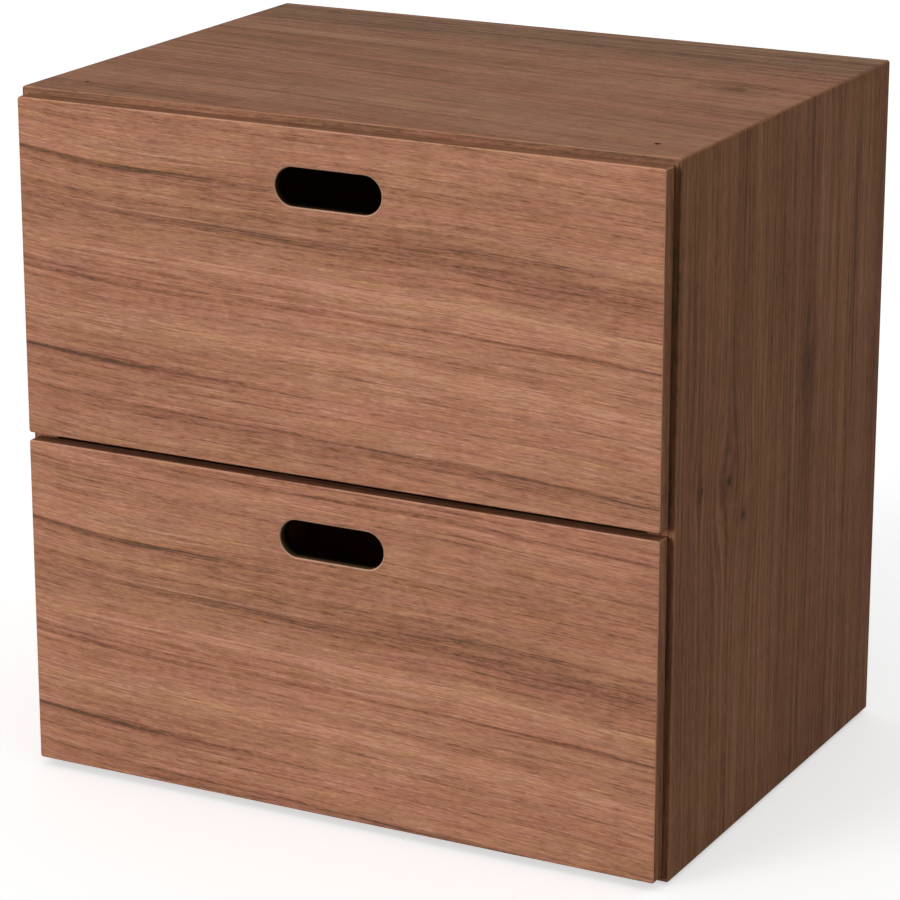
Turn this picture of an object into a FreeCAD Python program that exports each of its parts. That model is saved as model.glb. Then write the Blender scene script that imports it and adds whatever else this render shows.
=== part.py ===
import FreeCAD, Part
import math
import os
import re

import Sketcher
from FreeCAD import Vector

# A small stacking chest of two drawers. The carcass is four veneered boards, mitred and splined
# at the corners, with a grooved-in back and glides underneath. Each drawer is a finger-jointed
# box that hangs on two wooden runners, behind an overlay front with a finger slot.
# Frame: +X to the right of someone facing the chest, -Y out of the fronts, +Z up.
# The origin is on the floor under the middle of the chest. Lengths are in millimetres.

size_table = [
    # the whole chest
    ("width", 370, "across the side panels"),
    ("depth", 280, "from the faces of the drawer fronts to the rear edges"),
    ("height", 370, "from the floor to the top"),
    # carcass boards
    ("board", 15, "thickness of the carcass boards"),
    ("edge_round", 1.5, "radius on the mitred corners of the carcass"),
    ("rim_round", 1, "radius on the front and rear outer edges of the carcass"),
    ("mouth_round", 0.6, "radius on the inner edges of the carcass mouth"),
    ("glue_fit", 0.1, "clearance round what is glued into a slot, groove or hole"),
    ("overrun", 5, "how far a cut runs past the face that it starts at"),
    # splines in the mitres
    ("spline_thickness", 3, "thickness of a spline"),
    ("spline_width", 12, "width of a spline, half of it in each board"),
    ("spline_setback", 8, "from the inner corner to the middle of a spline, along the mitre"),
    ("spline_end", 15, "from the front edge, or the back panel, to the end of a spline"),
    # back panel
    ("back_thickness", 4, "thickness of the back panel"),
    ("back_inset", 8, "from the rear edges to the back panel"),
    ("back_tongue", 5, "how far the back panel reaches into its grooves"),
    # floor glides
    ("glide_diameter", 20, "diameter of a glide"),
    ("glide_height", 2, "how far a glide lifts the carcass"),
    ("glide_arris", 0.6, "bevel on the rim of a glide"),
    ("glide_pin_diameter", 4, "diameter of the pin of a glide"),
    ("glide_pin_length", 10, "length of the pin of a glide"),
    ("glide_inset", 45, "from the edges of the bottom panel to the middle of a glide"),
    # holes for the loose pins that keep stacked chests in line
    ("locating_diameter", 2, "diameter of a locating hole"),
    ("locating_depth", 8, "depth of a locating hole"),
    ("locating_inset", 24, "from the front and side edges to a locating hole"),
    # runners
    ("runner_height", 12, "height of a runner"),
    ("runner_setback", 20, "from the front edge of the carcass to a runner"),
    ("runner_rear_gap", 10, "from a runner to the back panel"),
    ("runner_play", 0.3, "clearance above, below and in front of a runner in its groove"),
    ("runner_side_play", 0.5, "clearance between a runner and the bottom of its groove"),
    ("runner_groove_depth", 6, "depth of the groove in a box side"),
    # wood screws that hold the runners
    ("runner_screw_diameter", 3.5, "diameter of a runner screw"),
    ("runner_screw_head", 7, "diameter of its countersunk head"),
    ("runner_screw_length", 18, "length of a runner screw"),
    ("runner_screw_end", 24, "from the end of a runner to its first screw"),
    # overlay fronts
    ("front_thickness", 9.5, "thickness of a drawer front"),
    ("front_gap", 0.5, "from the back of a front to the edges of the carcass"),
    ("side_reveal", 3.5, "carcass edge that shows beside a front"),
    ("top_reveal", 3.5, "carcass edge that shows above the upper front"),
    ("bottom_reveal", 2.5, "carcass edge that shows below the lower front"),
    ("drawer_gap", 4, "gap between the fronts"),
    ("front_corner", 1.5, "radius on the corners of a front"),
    ("front_round", 1, "radius on the edges of its face"),
    ("front_back_arris", 0.6, "bevel on the edges of its back"),
    ("slot_length", 60, "length of a finger slot"),
    ("slot_height", 20, "height of a finger slot"),
    ("slot_drop", 30, "from the top of a front to the middle of its slot"),
    ("slot_arris", 0.6, "bevel on the rims of a slot"),
    # drawer boxes
    ("box_board", 12, "thickness of the box sides, front and back"),
    ("box_side_gap", 2, "from a box side to the side panel"),
    ("box_rear_gap", 8, "from a box to the back panel"),
    ("box_lift", 16, "from the bottom of a front to the bottom of its box"),
    ("box_drop", 23, "from the top of a front to the top of its box"),
    ("box_arris", 1, "bevel on the top edges of a box"),
    ("scoop_clear", 5, "from a slot down to the scoop in the box front behind it"),
    ("scoop_margin", 5, "flat of the scoop past each end of the slot"),
    # drawer bottoms
    ("bottom_thickness", 4, "thickness of a drawer bottom"),
    ("bottom_rise", 8, "from the bottom of a box to its drawer bottom"),
    ("bottom_tongue", 5, "how far a drawer bottom reaches into its grooves"),
    # screws that hold the fronts on the boxes
    ("front_screw_diameter", 3.5, "diameter of a front screw"),
    ("front_screw_head", 7.5, "diameter of its pan head"),
    ("front_screw_head_height", 2.2, "height of its pan head"),
    ("front_screw_depth", 6, "how far a front screw reaches into the front"),
    ("front_screw_side", 40, "from the inside of a box side to a front screw"),
    ("front_screw_edge", 35, "from the top or bottom of a box to a front screw"),
]

# Fingers of a box side, fingers in the height of a box, those below the runner groove, and
# screws in a runner
side_fingers = 4
box_fingers = 2 * side_fingers - 1
lower_fingers = 4
runner_screws = 2
# The most of a rounded corner that a fillet across it may take
rim_limit_share = 0.75

# Sizes that follow from the table
worked_out = {
    "half_width": "width/2",
    "rim": f"min(rim_round; edge_round*{rim_limit_share})",
    "carcass_front": "front_thickness + front_gap - depth/2",
    "carcass_depth": "depth - front_thickness - front_gap",
    "carcass_height": "height - glide_height",
    "carcass_middle": "glide_height + carcass_height/2",
    "half_height": "carcass_height/2",
    "inner_half_width": "half_width - board",
    "inner_half_height": "half_height - board",
    "back_front": "carcass_depth - back_inset - back_thickness",
    "spline_length": "back_front - 2*spline_end",
    "front_width": "width - 2*side_reveal",
    "front_height": "(carcass_height - top_reveal - bottom_reveal - drawer_gap)/2",
    "drawer_pitch": "front_height + drawer_gap",
    "lower_level": "glide_height + bottom_reveal",
    "upper_level": "lower_level + drawer_pitch",
    "drawer_plane": "carcass_front - front_gap",
    "box_half_width": "inner_half_width - box_side_gap",
    "box_inner": "box_half_width - box_board",
    "box_length": "back_front + front_gap - box_rear_gap",
    "box_height": "front_height - box_lift - box_drop",
    "box_top": "front_height - box_drop",
    "finger": f"box_height/{box_fingers}",
    "scoop_depth": "slot_drop + slot_height/2 + scoop_clear - box_drop",
    "scoop_flat": "slot_length/2 + scoop_margin",
    "runner_thickness": "box_side_gap + runner_groove_depth - runner_side_play",
    "runner_length": "back_front - runner_setback - runner_rear_gap",
    "runner_level": f"box_lift + finger*({lower_fingers} + 1/2)",
    "runner_screw_row": "runner_length - 2*runner_screw_end",
    "groove_height": "runner_height + 2*runner_play",
    "groove_front": "runner_setback + front_gap - runner_play",
    "front_screw_x": "box_inner - front_screw_side",
    "front_screw_row": "2*front_screw_x",
    "front_screw_column": "box_height - 2*front_screw_edge",
    "front_screw_bore": "front_screw_diameter/2 + glue_fit",
    "runner_screw_bore": "runner_screw_diameter/2 + glue_fit",
    "glide_row": "width - 2*glide_inset",
    "glide_column": "carcass_depth - 2*glide_inset",
    "glide_bore": "glide_pin_diameter/2 + glue_fit",
    "locating_x": "half_width - locating_inset",
}

doc = FreeCAD.newDocument("stacking_chest")
sheet = doc.addObject("Spreadsheet::Sheet", "sizes")
for row, (name, number, note) in enumerate(size_table, 1):
    sheet.set(f"A{row}", name)
    sheet.set(f"B{row}", str(number))
    sheet.setAlias(f"B{row}", name)
    sheet.set(f"C{row}", note)
doc.recompute()
size_names = {name for name, number, note in size_table}
subparts = []
normal_sense = {"XY_Plane": 1, "XZ_Plane": -1, "YZ_Plane": 1}
tiny_share = 1e-6


# Sizes and expressions

def linked(text):
    def reference(match):
        word = match.group()
        if word in worked_out:
            return "(" + linked(worked_out[word]) + ")"
        if word in size_names:
            return "sizes." + word
        return word
    return re.sub(r"[a-z_]+", reference, text)


def value(text):
    return float(sheet.evalExpression(linked(text)))


def bind(thing, name, text):
    thing.setExpression(name, linked(text))


# Bodies, sketches and features

def new_body(name, x="0", y="0", z="0"):
    body = doc.addObject("PartDesign::Body", name)
    body.Label = name
    for axis, text in zip("xyz", (x, y, z)):
        bind(body, f"Placement.Base.{axis}", text)
    subparts.append(body)
    return body


def carcass_body(name):
    return new_body(name, y="carcass_front", z="carcass_middle")


def origin_part(body, role):
    return next(part for part in body.Origin.OriginFeatures if part.Role == role)


def new_sketch(body, name, role, at="0", y="0"):
    # at is the place of the sketch along the axis that its plane is square to
    sketch = body.newObject("Sketcher::SketchObject", f"{body.Name}_{name}")
    sketch.AttachmentSupport = [(origin_part(body, role), "")]
    sketch.MapMode = "FlatFace"
    bind(sketch, "AttachmentOffset.Base.y", y)
    bind(sketch, "AttachmentOffset.Base.z", f"{normal_sense[role]}*({at})")
    return sketch


def hold(sketch, edge, point, x, y):
    for kind, text in (("DistanceX", x), ("DistanceY", y)):
        if text is not None:
            rule = sketch.addConstraint(Sketcher.Constraint(kind, -1, 1, edge, point, value(text)))
            bind(sketch, f"Constraints[{rule}]", text)


def draw_arc(sketch, start, end, centre):
    # the shorter arc about the centre, and which of its points lie at start and end
    middle = Vector(value(centre[0]), value(centre[1]), 0)
    first = math.atan2(start.y - middle.y, start.x - middle.x)
    last = math.atan2(end.y - middle.y, end.x - middle.x)
    points = (1, 2)
    if (last - first) % (2 * math.pi) > math.pi:
        first, last = last, first
        points = (2, 1)
    ring = Part.Circle(middle, Vector(0, 0, 1), middle.distanceToPoint(start))
    edge = sketch.addGeometry(Part.ArcOfCircle(ring, first, last))
    if abs(end.x - start.x) < abs(end.y - start.y):
        hold(sketch, edge, 3, centre[0], None)
    else:
        hold(sketch, edge, 3, None, centre[1])
    return edge, points


def draw_outline(sketch, corners):
    # a closed outline; a corner with a third item is reached along an arc about that centre
    spots = [Vector(value(corner[0]), value(corner[1]), 0) for corner in corners]
    edges = []
    for index, corner in enumerate(corners):
        start = spots[index - 1]
        end = spots[index]
        if len(corner) == 3:
            edge, points = draw_arc(sketch, start, end, corner[2])
        else:
            edge = sketch.addGeometry(Part.LineSegment(start, end))
            points = (1, 2)
        edges.append((edge, points))
    for index, corner in enumerate(corners):
        edge, points = edges[index - 1]
        after, after_points = edges[index]
        meeting = Sketcher.Constraint("Coincident", edge, points[1], after, after_points[0])
        sketch.addConstraint(meeting)
        hold(sketch, after, after_points[1], corner[0], corner[1])


def draw_rectangle(sketch, left, bottom, right, top):
    draw_outline(sketch, [(left, bottom), (right, bottom), (right, top), (left, top)])


def draw_long_hole(sketch, left, right, middle, breadth):
    # round-ended outline from left to right about its middle line
    radius = f"({breadth})/2"
    right_centre = (f"{right} - {radius}", middle)
    left_centre = (f"{left} + {radius}", middle)
    draw_outline(sketch, [
        (right_centre[0], f"{middle} - {radius}"),
        (right, middle, right_centre),
        (right_centre[0], f"{middle} + {radius}", right_centre),
        (left_centre[0], f"{middle} + {radius}"),
        (left, middle, left_centre),
        (left_centre[0], f"{middle} - {radius}", left_centre),
    ])


def draw_circle(sketch, x, y, radius):
    ring = Part.Circle(Vector(value(x), value(y), 0), Vector(0, 0, 1), value(radius))
    edge = sketch.addGeometry(ring)
    hold(sketch, edge, 3, x, y)
    rule = sketch.addConstraint(Sketcher.Constraint("Radius", edge, value(radius)))
    bind(sketch, f"Constraints[{rule}]", radius)


def plane_sense(sketch):
    return normal_sense[sketch.AttachmentSupport[0][0].Role]


def pad(body, sketch, length, sense):
    # sense is 1 or -1, along the axis that the sketch is square to
    feature = body.newObject("PartDesign::Pad", f"{sketch.Name}_pad")
    feature.Profile = sketch
    bind(feature, "Length", length)
    feature.Reversed = sense != plane_sense(sketch)
    doc.recompute()
    return feature


def check_cut(body, before):
    if not body.Shape.Volume < before * (1 - tiny_share):
        raise RuntimeError(f"{body.Tip.Name} cuts nothing")


def pocket(body, sketch, length, sense):
    before = body.Shape.Volume
    feature = body.newObject("PartDesign::Pocket", f"{sketch.Name}_pocket")
    feature.Profile = sketch
    bind(feature, "Length", length)
    feature.Reversed = sense == plane_sense(sketch)
    doc.recompute()
    check_cut(body, before)
    return feature


def turn(body, sketch, kind, name):
    # the half section in the sketch turned about the sketch's own X axis
    feature = body.newObject(f"PartDesign::{kind}", f"{body.Name}_{name}")
    feature.Profile = sketch
    feature.ReferenceAxis = (sketch, ["H_Axis"])
    feature.Angle = 360
    doc.recompute()
    return feature


def repeat(body, feature, *rows):
    # one or two rows, each an axis, the length from the first copy to the last, and a count
    pattern = body.newObject("PartDesign::LinearPattern", f"{feature.Name}_pattern")
    pattern.Originals = [feature]
    for mark, (axis, length, count) in zip(("", "2"), rows):
        setattr(pattern, f"Direction{mark}", (origin_part(body, axis), [""]))
        bind(pattern, f"Length{mark}", length)
        setattr(pattern, f"Occurrences{mark}", count)
    body.Tip = pattern
    doc.recompute()


def ease(body, name, kind, size, chosen):
    # rounds (Fillet) or bevels (Chamfer) the edges of the body that chosen picks
    base = body.Tip
    edges = [f"Edge{number}" for number, edge in enumerate(base.Shape.Edges, 1) if chosen(edge)]
    if not edges:
        raise RuntimeError(f"{body.Name} has no edge for {name}")
    feature = body.newObject(f"PartDesign::{kind}", f"{body.Name}_{name}")
    feature.Base = (base, edges)
    bind(feature, "Radius" if kind == "Fillet" else "Size", size)
    doc.recompute()


def lies_at(edge, axis, text):
    # whether the whole edge lies in one plane square to the axis
    box = edge.BoundBox
    low = getattr(box, f"{axis}Min")
    high = getattr(box, f"{axis}Max")
    slack = tiny_share * value("width")
    return abs(low - value(text)) < slack and abs(high - value(text)) < slack


# Carcass

def spline_corners(hand, up, play):
    # rectangle across the mitre of one corner, in the carcass's own frame
    corners = []
    for a, b in ((-1, -1), (1, -1), (1, 1), (-1, 1)):
        out = f"{a}*(spline_width/2 + {play})"
        along = f"spline_setback + {b}*(spline_thickness/2 + {play})"
        x = f"{hand}*(inner_half_width + ({along} - {out})*cos(45))"
        z = f"{up}*(inner_half_height + ({along} + {out})*cos(45))"
        corners.append((x, z))
    return corners


def carcass_panel(name, faces, sense):
    # faces is the axis along which the board faces outwards, X or Z
    body = carcass_body(name)
    if faces == "Z":
        length, out = "half_width", "half_height"
        ends = [(-1, sense), (1, sense)]
    else:
        length, out = "half_height", "half_width"
        ends = [(sense, -1), (sense, 1)]

    def spot(along, outward):
        outward = f"{sense}*({outward})"
        return (along, outward) if faces == "Z" else (outward, along)

    # The board's end section: square inside, mitred, and rounded up to the mitre outside.
    start = f"{length} - edge_round"
    tip = f"{length} - edge_round + edge_round*cos(45)"
    tip_out = f"{out} - edge_round + edge_round*cos(45)"
    centre_out = f"{out} - edge_round"
    section = new_sketch(body, "section", "XZ_Plane")
    draw_outline(section, [
        spot(start, out),
        (*spot(tip, tip_out), spot(start, centre_out)),
        spot(f"{length} - board", f"{out} - board"),
        spot(f"board - {length}", f"{out} - board"),
        spot(f"-({tip})", tip_out),
        (*spot(f"-({start})", out), spot(f"-({start})", centre_out)),
    ])
    pad(body, section, "carcass_depth", 1)

    def on_rim(edge):
        at_end = lies_at(edge, "Y", "0") or lies_at(edge, "Y", "carcass_depth")
        outside = lies_at(edge, faces, f"{sense}*{out}")
        return at_end and (outside or isinstance(edge.Curve, Part.Circle))

    def on_mouth(edge):
        return lies_at(edge, "Y", "0") and lies_at(edge, faces, f"{sense}*({out} - board)")

    ease(body, "rim", "Fillet", "rim", on_rim)
    ease(body, "mouth", "Fillet", "mouth_round", on_mouth)

    seats = new_sketch(body, "spline_slots", "XZ_Plane", at="spline_end - glue_fit")
    for hand, up in ends:
        draw_outline(seats, spline_corners(hand, up, "glue_fit"))
    pocket(body, seats, "spline_length + 2*glue_fit", 1)

    groove = new_sketch(body, "back_groove", "XZ_Plane", at="back_front - glue_fit")
    reach = "back_tongue + glue_fit"
    draw_rectangle(groove, f"-(inner_half_width + {reach})", f"-(inner_half_height + {reach})",
                   f"inner_half_width + {reach}", f"inner_half_height + {reach}")
    pocket(body, groove, "back_thickness + 2*glue_fit", 1)
    return body


def cut_locating_holes(body, up):
    # a blind hole near each front corner, from the outside of the top or bottom panel
    holes = new_sketch(body, "locating_holes", "XY_Plane", at=f"{up}*half_height")
    for hand in (-1, 1):
        draw_circle(holes, f"{hand}*locating_x", "locating_inset", "locating_diameter/2")
    pocket(body, holes, "locating_depth", -up)


def top_panel():
    body = carcass_panel("top_panel", "Z", 1)
    cut_locating_holes(body, 1)


def side_panel(name, hand):
    body = carcass_panel(name, "X", hand)
    bores = new_sketch(body, "screw_bores", "YZ_Plane", at=f"{hand}*inner_half_width")
    draw_circle(bores, "runner_setback + runner_screw_end",
                "lower_level + runner_level - carcass_middle", "runner_screw_bore")
    depth = "runner_screw_length - runner_thickness + glue_fit"
    bore = pocket(body, bores, depth, hand)
    repeat(body, bore, ("Y_Axis", "runner_screw_row", runner_screws), ("Z_Axis", "drawer_pitch", 2))


def bottom_panel():
    body = carcass_panel("bottom_panel", "Z", -1)
    cut_locating_holes(body, -1)
    bores = new_sketch(body, "glide_bores", "XY_Plane", at="-half_height")
    draw_circle(bores, "glide_inset - half_width", "glide_inset", "glide_bore")
    bore = pocket(body, bores, "glide_pin_length + glue_fit", 1)
    repeat(body, bore, ("X_Axis", "glide_row", 2), ("Y_Axis", "glide_column", 2))


def spline(name, hand, up):
    body = carcass_body(name)
    section = new_sketch(body, "section", "XZ_Plane", at="spline_end")
    draw_outline(section, spline_corners(hand, up, "0"))
    pad(body, section, "spline_length", 1)


def back_panel():
    body = carcass_body("back_panel")
    sheet_outline = new_sketch(body, "outline", "XZ_Plane", at="back_front")
    draw_rectangle(sheet_outline, "-(inner_half_width + back_tongue)",
                   "-(inner_half_height + back_tongue)",
                   "inner_half_width + back_tongue", "inner_half_height + back_tongue")
    pad(body, sheet_outline, "back_thickness", 1)


def floor_glides():
    # a disc with a bevelled rim and a pin, turned about the pin, in each corner
    body = new_body("floor_glides", x="glide_inset - half_width", y="carcass_front + glide_inset")
    section = new_sketch(body, "section", "XZ_Plane")
    rim = "glide_diameter/2"
    top = "glide_height + glide_pin_length"
    draw_outline(section, [
        (f"{rim} - glide_arris", "0"),
        (rim, "glide_arris"),
        (rim, "glide_height"),
        ("glide_pin_diameter/2", "glide_height"),
        ("glide_pin_diameter/2", top),
        ("0", top),
        ("0", "0"),
    ])
    disc = body.newObject("PartDesign::Revolution", "floor_glides_disc")
    disc.Profile = section
    disc.ReferenceAxis = (section, ["V_Axis"])
    disc.Angle = 360
    doc.recompute()
    repeat(body, disc, ("X_Axis", "glide_row", 2), ("Y_Axis", "glide_column", 2))


# Runners and their screws

def runner(name, hand, level):
    # The body's own frame starts at the front end of the runner, on the side panel.
    body = new_body(name, x=f"{hand}*inner_half_width", y="carcass_front + runner_setback",
                    z=f"{level} + runner_level")
    outline = new_sketch(body, "outline", "YZ_Plane")
    draw_long_hole(outline, "0", "runner_length", "0", "runner_height")
    pad(body, outline, "runner_thickness", -hand)

    head = "runner_screw_head/2 + glue_fit"
    seat = new_sketch(body, "screw_seat", "XY_Plane", y="runner_screw_end")
    face = f"{-hand}*runner_thickness"
    draw_outline(seat, [
        (f"{face} - {hand}*overrun", "0"),
        (f"{face} - {hand}*overrun", f"{head} + overrun"),
        (f"{face} + {hand}*({head} - runner_screw_bore)", "runner_screw_bore"),
        (f"{hand}*overrun", "runner_screw_bore"),
        (f"{hand}*overrun", "0"),
    ])
    before = body.Shape.Volume
    countersink = turn(body, seat, "Groove", "countersink")
    check_cut(body, before)
    repeat(body, countersink, ("Y_Axis", "runner_screw_row", runner_screws))


def runner_screw_set(name, hand):
    # The body's own frame starts at the head of the lower front screw.
    body = new_body(name, x=f"{hand}*(inner_half_width - runner_thickness)",
                    y="carcass_front + runner_setback + runner_screw_end",
                    z="lower_level + runner_level")
    section = new_sketch(body, "section", "XY_Plane")
    slope = "runner_screw_head/2 - runner_screw_diameter/2"
    draw_outline(section, [
        ("0", "0"),
        ("0", "runner_screw_head/2"),
        (f"{hand}*({slope})", "runner_screw_diameter/2"),
        (f"{hand}*runner_screw_length", "runner_screw_diameter/2"),
        (f"{hand}*runner_screw_length", "0"),
    ])
    screw = turn(body, section, "Revolution", "screw")
    repeat(body, screw, ("Y_Axis", "runner_screw_row", runner_screws), ("Z_Axis", "drawer_pitch", 2))


# Drawers. Each body's own frame starts at the middle of the bottom edge of the front's back.

def drawer_body(name, level):
    return new_body(name, y="drawer_plane", z=level)


def drawer_front(name, level):
    body = drawer_body(name, level)
    outline = new_sketch(body, "outline", "XZ_Plane")
    draw_rectangle(outline, "-front_width/2", "0", "front_width/2", "front_height")
    pad(body, outline, "front_thickness", -1)

    def is_corner(edge):
        return not (lies_at(edge, "Y", "0") or lies_at(edge, "Y", "-front_thickness"))

    ease(body, "corners", "Fillet", "front_corner", is_corner)
    ease(body, "face_edges", "Fillet", "front_round",
         lambda edge: lies_at(edge, "Y", "-front_thickness"))
    ease(body, "back_edges", "Chamfer", "front_back_arris", lambda edge: lies_at(edge, "Y", "0"))

    slot = new_sketch(body, "slot", "XZ_Plane")
    draw_long_hole(slot, "-slot_length/2", "slot_length/2", "front_height - slot_drop", "slot_height")
    pocket(body, slot, "front_thickness + overrun", -1)

    def on_slot_rim(edge):
        box = edge.BoundBox
        in_slot = max(abs(box.XMin), abs(box.XMax)) < value("slot_length/2 + slot_arris")
        in_slot = in_slot and box.ZMin > value("front_height - slot_drop - slot_height/2 - slot_arris")
        in_slot = in_slot and box.ZMax < value("front_height - slot_drop + slot_height/2 + slot_arris")
        return in_slot and (lies_at(edge, "Y", "0") or lies_at(edge, "Y", "-front_thickness"))

    ease(body, "slot_rims", "Chamfer", "slot_arris", on_slot_rim)

    bores = new_sketch(body, "screw_bores", "XZ_Plane")
    draw_circle(bores, "-front_screw_x", "box_lift + front_screw_edge", "front_screw_bore")
    bore = pocket(body, bores, "front_screw_depth + glue_fit", -1)
    repeat(body, bore, ("X_Axis", "front_screw_row", 2), ("Z_Axis", "front_screw_column", 2))


def cut_fingers(body, role, at, near, far, first, count, depth, sense):
    # a column of notches at both ends of a box board, between near and far at the lower end
    notches = new_sketch(body, "finger_notches", role, at=at)
    for low, high in (near, far):
        draw_rectangle(notches, low, f"box_lift + finger*{first}", high,
                       f"box_lift + finger*{first + 1}")
    notch = pocket(body, notches, depth, sense)
    repeat(body, notch, ("Z_Axis", f"finger*{2 * (count - 1)}", count))


def box_side(name, hand, level):
    body = drawer_body(name, level)
    outline = new_sketch(body, "outline", "YZ_Plane", at=f"{hand}*box_half_width")
    draw_rectangle(outline, "0", "box_lift", "box_length", "box_top")
    pad(body, outline, "box_board", -hand)

    def on_top(edge):
        box = edge.BoundBox
        return lies_at(edge, "Z", "box_top") and box.YLength > value("box_length/2")

    ease(body, "top_edges", "Chamfer", "box_arris", on_top)
    cut_fingers(body, "YZ_Plane", f"{hand}*box_half_width", ("0", "box_board"),
                ("box_length - box_board", "box_length"), 1, side_fingers - 1, "box_board", -hand)

    groove = new_sketch(body, "bottom_groove", "YZ_Plane", at=f"{hand}*box_inner")
    reach = "bottom_tongue + glue_fit"
    draw_rectangle(groove, f"box_board - ({reach})", "box_lift + bottom_rise - glue_fit",
                   f"box_length - box_board + {reach}",
                   "box_lift + bottom_rise + bottom_thickness + glue_fit")
    pocket(body, groove, reach, hand)

    track = new_sketch(body, "runner_groove", "YZ_Plane", at=f"{hand}*box_half_width")
    draw_long_hole(track, "groove_front", "box_length + groove_height", "runner_level", "groove_height")
    pocket(body, track, "runner_groove_depth", -hand)


def box_end(name, level, is_front):
    # the box front, with its scoop behind the finger slot, or the box back
    body = drawer_body(name, level)
    place = "0" if is_front else "box_length - box_board"
    inside = "box_board" if is_front else place
    inward = 1 if is_front else -1
    outline = new_sketch(body, "outline", "XZ_Plane", at=place)
    corners = [("-box_half_width", "box_lift"), ("box_half_width", "box_lift"),
               ("box_half_width", "box_top")]
    if is_front:
        # Each end of the scoop is two quarter turns, from the top edge down to the flat.
        middle = "box_top - scoop_depth/2"
        shoulder = "scoop_flat + scoop_depth"
        bend = "scoop_flat + scoop_depth/2"
        corners += [
            (shoulder, "box_top"),
            (bend, middle, (shoulder, middle)),
            ("scoop_flat", "box_top - scoop_depth", ("scoop_flat", middle)),
            ("-scoop_flat", "box_top - scoop_depth"),
            (f"-({bend})", middle, ("-scoop_flat", middle)),
            (f"-({shoulder})", "box_top", (f"-({shoulder})", middle)),
        ]
    corners.append(("-box_half_width", "box_top"))
    draw_outline(outline, corners)
    pad(body, outline, "box_board", 1)

    def on_top(edge):
        box = edge.BoundBox
        on_face = lies_at(edge, "Y", place) or lies_at(edge, "Y", f"{place} + box_board")
        above = box.ZMin > value("box_top - scoop_depth - scoop_clear")
        return on_face and above and box.XLength > value("box_arris")

    ease(body, "top_edges", "Chamfer", "box_arris", on_top)
    cut_fingers(body, "XZ_Plane", place, ("-box_half_width", "-box_inner"),
                ("box_inner", "box_half_width"), 0, side_fingers, "box_board", 1)

    groove = new_sketch(body, "bottom_groove", "XZ_Plane", at=inside)
    reach = "bottom_tongue + glue_fit"
    draw_rectangle(groove, f"-(box_inner + {reach})", "box_lift + bottom_rise - glue_fit",
                   f"box_inner + {reach}", "box_lift + bottom_rise + bottom_thickness + glue_fit")
    pocket(body, groove, reach, -inward)

    if is_front:
        bores = new_sketch(body, "screw_bores", "XZ_Plane")
        draw_circle(bores, "-front_screw_x", "box_lift + front_screw_edge", "front_screw_bore")
        bore = pocket(body, bores, "box_board + overrun", 1)
        repeat(body, bore, ("X_Axis", "front_screw_row", 2), ("Z_Axis", "front_screw_column", 2))


def drawer_bottom(name, level):
    body = drawer_body(name, level)
    outline = new_sketch(body, "outline", "XY_Plane", at="box_lift + bottom_rise")
    draw_rectangle(outline, "-(box_inner + bottom_tongue)", "box_board - bottom_tongue",
                   "box_inner + bottom_tongue", "box_length - box_board + bottom_tongue")
    pad(body, outline, "bottom_thickness", 1)


def front_screw_set(name, level):
    # The body's own frame starts under the head of the lower left screw, inside the box.
    body = new_body(name, x="-front_screw_x", y="drawer_plane + box_board",
                    z=f"{level} + box_lift + front_screw_edge")
    section = new_sketch(body, "section", "XY_Plane")
    rim = "front_screw_head/2"
    length = "box_board + front_screw_depth"
    draw_outline(section, [
        ("0", "front_screw_head_height"),
        ("0", f"-({length})"),
        ("front_screw_diameter/2", f"-({length})"),
        ("front_screw_diameter/2", "0"),
        (rim, "0"),
        (rim, "front_screw_head_height"),
    ])
    screw = body.newObject("PartDesign::Revolution", f"{name}_screw")
    screw.Profile = section
    screw.ReferenceAxis = (section, ["V_Axis"])
    screw.Angle = 360
    doc.recompute()
    repeat(body, screw, ("X_Axis", "front_screw_row", 2), ("Z_Axis", "front_screw_column", 2))


def drawer(prefix, level):
    drawer_front(f"{prefix}_drawer_front", level)
    box_end(f"{prefix}_box_front", level, True)
    box_side(f"{prefix}_box_left_side", -1, level)
    box_side(f"{prefix}_box_right_side", 1, level)
    box_end(f"{prefix}_box_back", level, False)
    drawer_bottom(f"{prefix}_drawer_bottom", level)
    front_screw_set(f"{prefix}_front_screws", level)


top_panel()
bottom_panel()
side_panel("left_side_panel", -1)
side_panel("right_side_panel", 1)
for up_name, up_sense in (("top", 1), ("bottom", -1)):
    for hand_name, hand_sense in (("left", -1), ("right", 1)):
        spline(f"{up_name}_{hand_name}_spline", hand_sense, up_sense)
back_panel()
floor_glides()
for level_name in ("upper", "lower"):
    for hand_name, hand_sense in (("left", -1), ("right", 1)):
        runner(f"{level_name}_{hand_name}_runner", hand_sense, f"{level_name}_level")
runner_screw_set("left_runner_screws", -1)
runner_screw_set("right_runner_screws", 1)
for level_name in ("upper", "lower"):
    drawer(level_name, f"{level_name}_level")

# Every object must have rebuilt, and every sub-part must be sound, before anything is written.
doc.recompute()
for thing in doc.Objects:
    if "Invalid" in thing.State or "Error" in thing.State:
        raise RuntimeError(f"{thing.Name} failed: {thing.State}")
for body in subparts:
    if body.Shape.isNull() or not body.Shape.isValid() or not body.Shape.Solids:
        raise RuntimeError(f"{body.Label} is not a sound solid")

os.makedirs("parts", exist_ok=True)
for body in subparts:
    body.Shape.exportStep(f"parts/{body.Label}.step")
    print(f"{body.Label}: {len(body.Shape.Solids)} solids, {body.Shape.Volume:.1f} mm3")
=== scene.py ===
import math

import bpy
import bmesh
from mathutils import Matrix, Vector


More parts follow.
